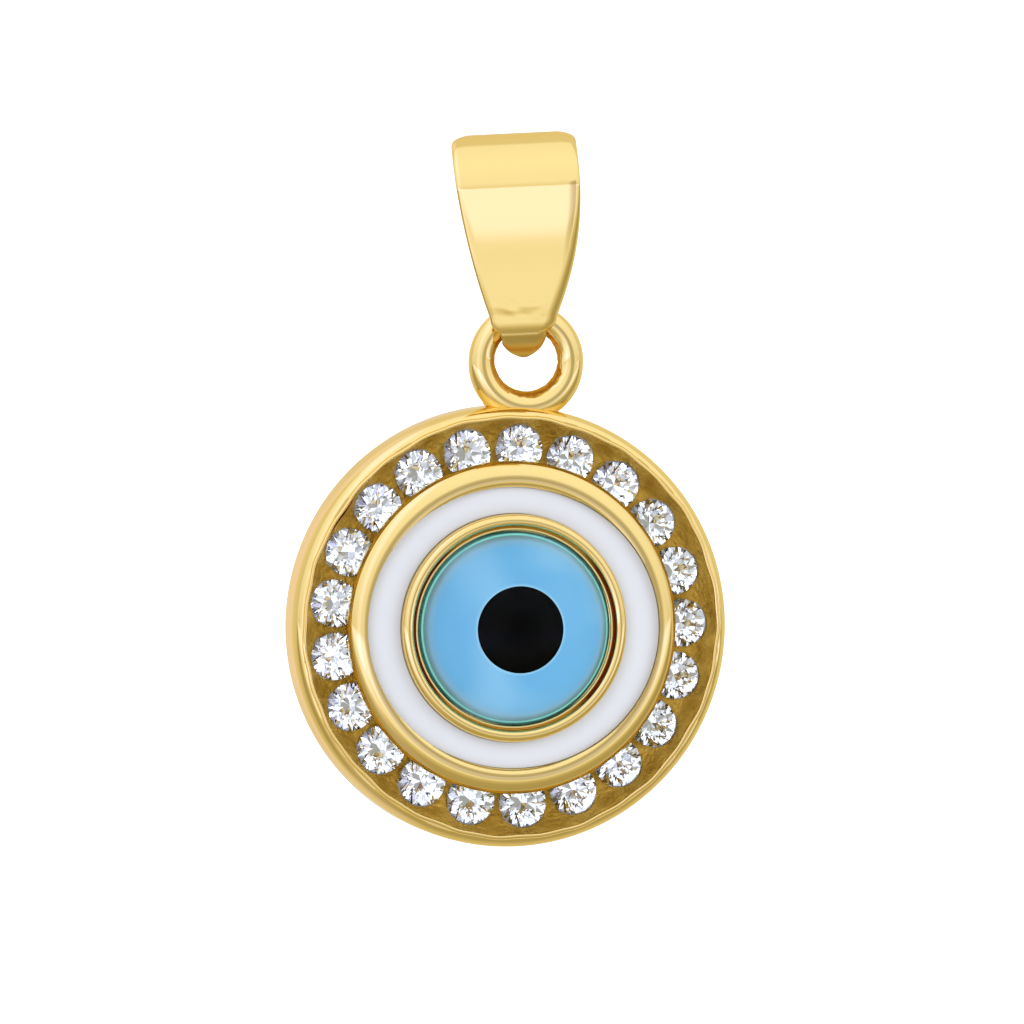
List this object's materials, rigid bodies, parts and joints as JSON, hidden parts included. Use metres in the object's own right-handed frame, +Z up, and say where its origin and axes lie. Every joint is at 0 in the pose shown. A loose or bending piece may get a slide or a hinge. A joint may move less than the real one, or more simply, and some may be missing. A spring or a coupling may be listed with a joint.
{
  "type": "evil eye pendant",
  "caption": "Round gold drop with a channel of small clear stones, a white enamel ring and a blue glass eye, swinging on its ring in a tapered bail.",
  "frame": {"origin": "middle of the bail's inner top, where the chain runs", "axes": "+Z up, the pendant's front faces -Y, +X to the right as the front is seen"},
  "size_m": [0.0138, 0.0049, 0.0224],
  "materials": {
    "polished_gold": "polished yellow gold",
    "white_enamel": "glossy white enamel",
    "clear_glass": "polished clear glass, faintly blue green",
    "blue_glass": "opaque light blue glass",
    "black_glass": "opaque black glass",
    "cut_stone": "cut and polished clear zirconia"
  },
  "bodies": {
    "bail": {"bail": "polished_gold"},
    "drop": {"setting": "polished_gold", "enamel_ring": "white_enamel", "cabochon": "clear_glass", "iris": "blue_glass", "pupil": "black_glass", "stone_01": "cut_stone", "stone_02": "cut_stone", "stone_03": "cut_stone", "stone_04": "cut_stone", "stone_05": "cut_stone", "stone_06": "cut_stone", "stone_07": "cut_stone", "stone_08": "cut_stone", "stone_09": "cut_stone", "stone_10": "cut_stone", "stone_11": "cut_stone", "stone_12": "cut_stone", "stone_13": "cut_stone", "stone_14": "cut_stone", "stone_15": "cut_stone", "stone_16": "cut_stone", "stone_17": "cut_stone", "stone_18": "cut_stone", "stone_19": "cut_stone", "stone_20": "cut_stone", "stone_21": "cut_stone"}
  },
  "joints": [
    {"name": "drop_swing", "type": "hinge", "parent": "bail", "child": "drop", "pos_m": [0.0004, 0, -0.00504], "axis": [0.9979, 0, -0.0645], "range_deg": [-35, 35]}
  ]
}
